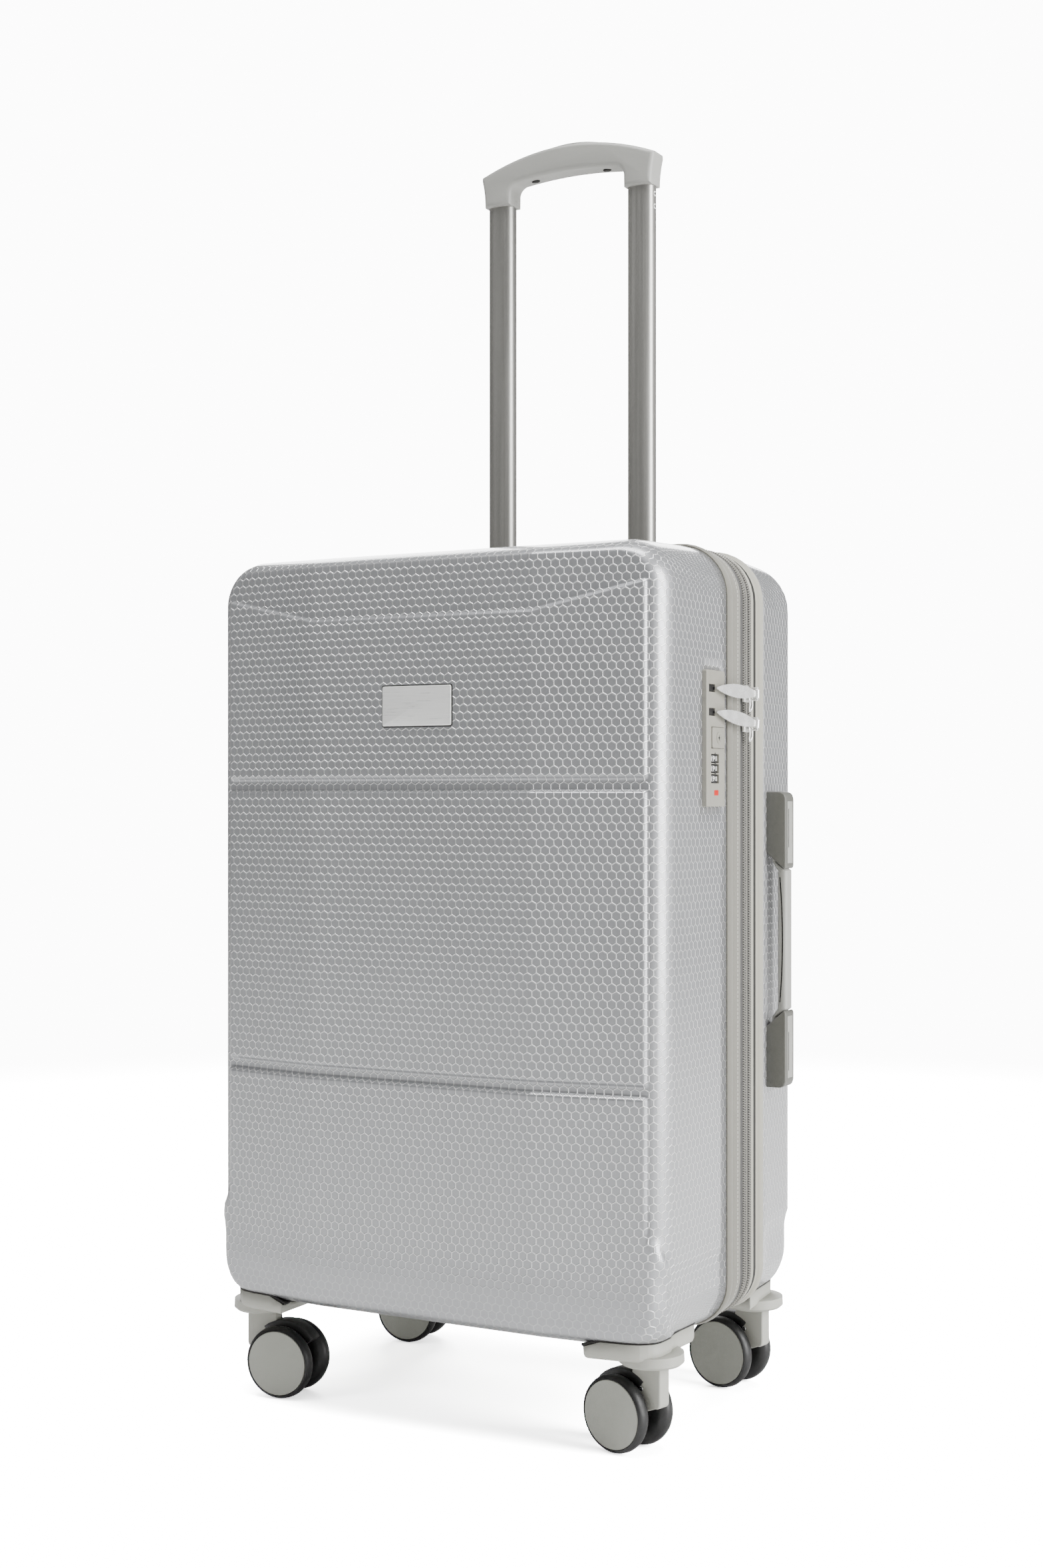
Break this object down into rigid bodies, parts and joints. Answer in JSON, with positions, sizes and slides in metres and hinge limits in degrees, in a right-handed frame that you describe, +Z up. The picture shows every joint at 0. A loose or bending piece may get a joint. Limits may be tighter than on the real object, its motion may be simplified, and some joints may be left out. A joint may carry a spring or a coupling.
{
  "type": "hard shell suitcase",
  "caption": "Upright hard shell suitcase with swivelling twin-wheel casters, trolley handle, side lock with dials and a hinged, zipped, expandable lid.",
  "frame": {"origin": "centre of the bounding box's base, on the floor under the wheels", "axes": "+Z up, +Y towards the back (trolley side), +X towards the side with the lock and side handle"},
  "size_m": [0.4406, 0.2912, 1.088],
  "materials": {
    "shell": "glossy embossed hexagons",
    "guard": "satin",
    "trim_fabric": "fine weave",
    "zip": "satin coil",
    "lining": "plain weave",
    "chrome": "polished",
    "lock_plastic": "satin",
    "dial": "satin",
    "handle_dark": "satin",
    "handle": "satin",
    "aluminium": "drawn, satin",
    "steel": "turned",
    "tyre": "satin",
    "wheel_cap": "satin"
  },
  "bodies": {
    "case": {"rear_shell": "shell", "rear_trim": "trim_fabric", "rear_band": "trim_fabric", "expansion_zip": "zip", "rear_lining": "lining", "side_handle_mount_upper": "handle_dark", "side_handle_mount_lower": "handle_dark", "trolley_bezel": "handle", "trolley_rail_left": "aluminium", "trolley_rail_right": "aluminium", "caster_mount_rear_left": "guard", "caster_mount_rear_right": "guard"},
    "zip_strip": {"main_zip": "zip", "expansion_gusset": "lining"},
    "lid": {"front_shell": "shell", "front_trim": "trim_fabric", "lid_divider": "lining", "nameplate": "chrome", "lock_body": "lock_plastic", "caster_mount_front_left": "guard", "caster_mount_front_right": "guard"},
    "trolley": {"trolley_grip": "handle", "trolley_tube_left": "aluminium", "trolley_tube_right": "aluminium"},
    "grip_button": {"grip_button": "handle"},
    "side_handle": {"side_handle_grip": "handle"},
    "top_handle": {"top_handle_grip": "handle"},
    "dial_1": {"lock_dial_1": "dial"},
    "dial_2": {"lock_dial_2": "dial"},
    "dial_3": {"lock_dial_3": "dial"},
    "key": {"key_cylinder": "chrome"},
    "lock_button": {"lock_button": "lock_plastic"},
    "slider_upper": {"zip_slider_upper": "chrome"},
    "slider_lower": {"zip_slider_lower": "chrome"},
    "puller_upper": {"zip_puller_upper": "chrome"},
    "puller_lower": {"zip_puller_lower": "chrome"},
    "caster_front_left": {"fork_front_left": "guard", "axle_front_left": "steel"},
    "wheel_front_left_a": {"wheel_front_left_a": "tyre", "wheel_cap_front_left_a": "wheel_cap"},
    "wheel_front_left_b": {"wheel_front_left_b": "tyre", "wheel_cap_front_left_b": "wheel_cap"},
    "caster_front_right": {"fork_front_right": "guard", "axle_front_right": "steel"},
    "wheel_front_right_a": {"wheel_front_right_a": "tyre", "wheel_cap_front_right_a": "wheel_cap"},
    "wheel_front_right_b": {"wheel_front_right_b": "tyre", "wheel_cap_front_right_b": "wheel_cap"},
    "caster_rear_left": {"fork_rear_left": "guard", "axle_rear_left": "steel"},
    "wheel_rear_left_a": {"wheel_rear_left_a": "tyre", "wheel_cap_rear_left_a": "wheel_cap"},
    "wheel_rear_left_b": {"wheel_rear_left_b": "tyre", "wheel_cap_rear_left_b": "wheel_cap"},
    "caster_rear_right": {"fork_rear_right": "guard", "axle_rear_right": "steel"},
    "wheel_rear_right_a": {"wheel_rear_right_a": "tyre", "wheel_cap_rear_right_a": "wheel_cap"},
    "wheel_rear_right_b": {"wheel_rear_right_b": "tyre", "wheel_cap_rear_right_b": "wheel_cap"}
  },
  "joints": [
    {"name": "expansion_slide", "type": "slide", "parent": "case", "child": "zip_strip", "axis": [0, -1, 0], "range_m": [0, 0.04]},
    {"name": "lid_hinge", "type": "hinge", "parent": "zip_strip", "child": "lid", "pos_m": [-0.22176, 0.01065, 0.392], "axis": [0, 0, -1], "range_deg": [0, 150]},
    {"name": "trolley_slide", "type": "slide", "parent": "case", "child": "trolley", "axis": [0, 0, 1], "range_m": [-0.335, 0]},
    {"name": "grip_button_press", "type": "slide", "parent": "trolley", "child": "grip_button", "axis": [0, 0, -1], "range_m": [0, 0.0035], "stiffness_N_per_m": 900, "springref_m": -0.001},
    {"name": "side_handle_pull", "type": "slide", "parent": "case", "child": "side_handle", "axis": [1, 0, 0], "range_m": [0, 0.009], "stiffness_N_per_m": 300, "springref_m": -0.002},
    {"name": "top_handle_lift", "type": "slide", "parent": "case", "child": "top_handle", "axis": [0, 0, 1], "range_m": [0, 0.02], "stiffness_N_per_m": 250, "springref_m": -0.002},
    {"name": "key_turn", "type": "hinge", "parent": "lid", "child": "key", "pos_m": [0.19574, -0.03935, 0.5476], "axis": [1, 0, 0], "range_deg": [0, 90]},
    {"name": "lock_button_press", "type": "slide", "parent": "lid", "child": "lock_button", "axis": [-1, 0, 0], "range_m": [0, 0.0025], "stiffness_N_per_m": 600, "springref_m": -0.001},
    {"name": "zip_slider_upper_slide", "type": "slide", "parent": "lid", "child": "slider_upper", "axis": [0, 0, 1], "range_m": [0, 0.055]},
    {"name": "zip_slider_lower_slide", "type": "slide", "parent": "lid", "child": "slider_lower", "axis": [0, 0, 1], "range_m": [-0.4, 0]},
    {"name": "zip_puller_upper_swing", "type": "hinge", "parent": "slider_upper", "child": "puller_upper", "pos_m": [0.21184, 0.01515, 0.584], "axis": [0, 0, 1], "range_deg": [0, 150]},
    {"name": "zip_puller_lower_swing", "type": "hinge", "parent": "slider_lower", "child": "puller_lower", "pos_m": [0.21184, 0.01515, 0.56], "axis": [0, 0, 1], "range_deg": [0, 150]},
    {"name": "dial_1_turn", "type": "hinge", "parent": "lid", "child": "dial_1", "pos_m": [0.19444, -0.04435, 0.5313], "axis": [0, 0, 1], "continuous": true},
    {"name": "dial_2_turn", "type": "hinge", "parent": "lid", "child": "dial_2", "pos_m": [0.19444, -0.04435, 0.5235], "axis": [0, 0, 1], "continuous": true},
    {"name": "dial_3_turn", "type": "hinge", "parent": "lid", "child": "dial_3", "pos_m": [0.19444, -0.04435, 0.5156], "axis": [0, 0, 1], "continuous": true},
    {"name": "swivel_front_left", "type": "hinge", "parent": "lid", "child": "caster_front_left", "pos_m": [-0.18926, -0.09635, 0.066], "axis": [0, 0, 1], "continuous": true},
    {"name": "roll_front_left_a", "type": "hinge", "parent": "caster_front_left", "child": "wheel_front_left_a", "pos_m": [-0.16639, -0.09395, 0.03], "axis": [-0.1045, 0.9945, 0], "continuous": true},
    {"name": "roll_front_left_b", "type": "hinge", "parent": "caster_front_left", "child": "wheel_front_left_b", "pos_m": [-0.16639, -0.09395, 0.03], "axis": [-0.1045, 0.9945, 0], "continuous": true},
    {"name": "swivel_front_right", "type": "hinge", "parent": "lid", "child": "caster_front_right", "pos_m": [0.17074, -0.09635, 0.066], "axis": [0, 0, 1], "continuous": true},
    {"name": "roll_front_right_a", "type": "hinge", "parent": "caster_front_right", "child": "wheel_front_right_a", "pos_m": [0.14842, -0.09079, 0.03], "axis": [-0.2419, -0.9703, 0], "continuous": true},
    {"name": "roll_front_right_b", "type": "hinge", "parent": "caster_front_right", "child": "wheel_front_right_b", "pos_m": [0.14842, -0.09079, 0.03], "axis": [-0.2419, -0.9703, 0], "continuous": true},
    {"name": "swivel_rear_left", "type": "hinge", "parent": "case", "child": "caster_rear_left", "pos_m": [-0.18926, 0.10765, 0.066], "axis": [0, 0, 1], "continuous": true},
    {"name": "roll_rear_left_a", "type": "hinge", "parent": "caster_rear_left", "child": "wheel_rear_left_a", "pos_m": [-0.16632, 0.10925, 0.03], "axis": [-0.0698, 0.9976, 0], "continuous": true},
    {"name": "roll_rear_left_b", "type": "hinge", "parent": "caster_rear_left", "child": "wheel_rear_left_b", "pos_m": [-0.16632, 0.10925, 0.03], "axis": [-0.0698, 0.9976, 0], "continuous": true},
    {"name": "swivel_rear_right", "type": "hinge", "parent": "case", "child": "caster_rear_right", "pos_m": [0.17074, 0.10765, 0.066], "axis": [0, 0, 1], "continuous": true},
    {"name": "roll_rear_right_a", "type": "hinge", "parent": "caster_rear_right", "child": "wheel_rear_right_a", "pos_m": [0.14809, 0.11164, 0.03], "axis": [-0.1736, -0.9848, 0], "continuous": true},
    {"name": "roll_rear_right_b", "type": "hinge", "parent": "caster_rear_right", "child": "wheel_rear_right_b", "pos_m": [0.14809, 0.11164, 0.03], "axis": [-0.1736, -0.9848, 0], "continuous": true}
  ]
}
